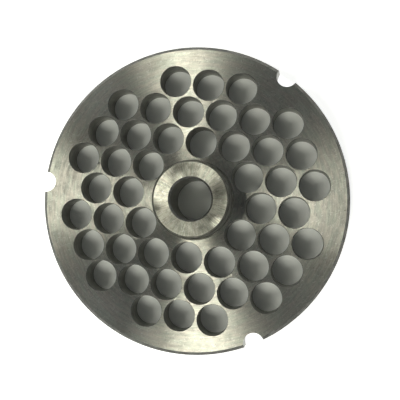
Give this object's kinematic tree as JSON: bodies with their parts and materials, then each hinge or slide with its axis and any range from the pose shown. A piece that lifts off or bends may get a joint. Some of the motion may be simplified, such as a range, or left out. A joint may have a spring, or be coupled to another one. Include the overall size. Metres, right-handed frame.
{
  "type": "meat grinder plate",
  "caption": "Round perforated steel plate with a raised centre hub and bore, a field of straight feed holes and three half-round rim notches.",
  "frame": {"origin": "axis of the bore at the plate's flat back face", "axes": "+Z along the bore towards the hub; rows of feed holes run along X, and one rim notch lies on the -X side"},
  "size_m": [0.0994, 0.0994, 0.0185],
  "materials": {
    "steel": "turned and brushed, satin"
  },
  "bodies": {
    "root": {"grinder_plate": "steel"}
  },
  "joints": []
}
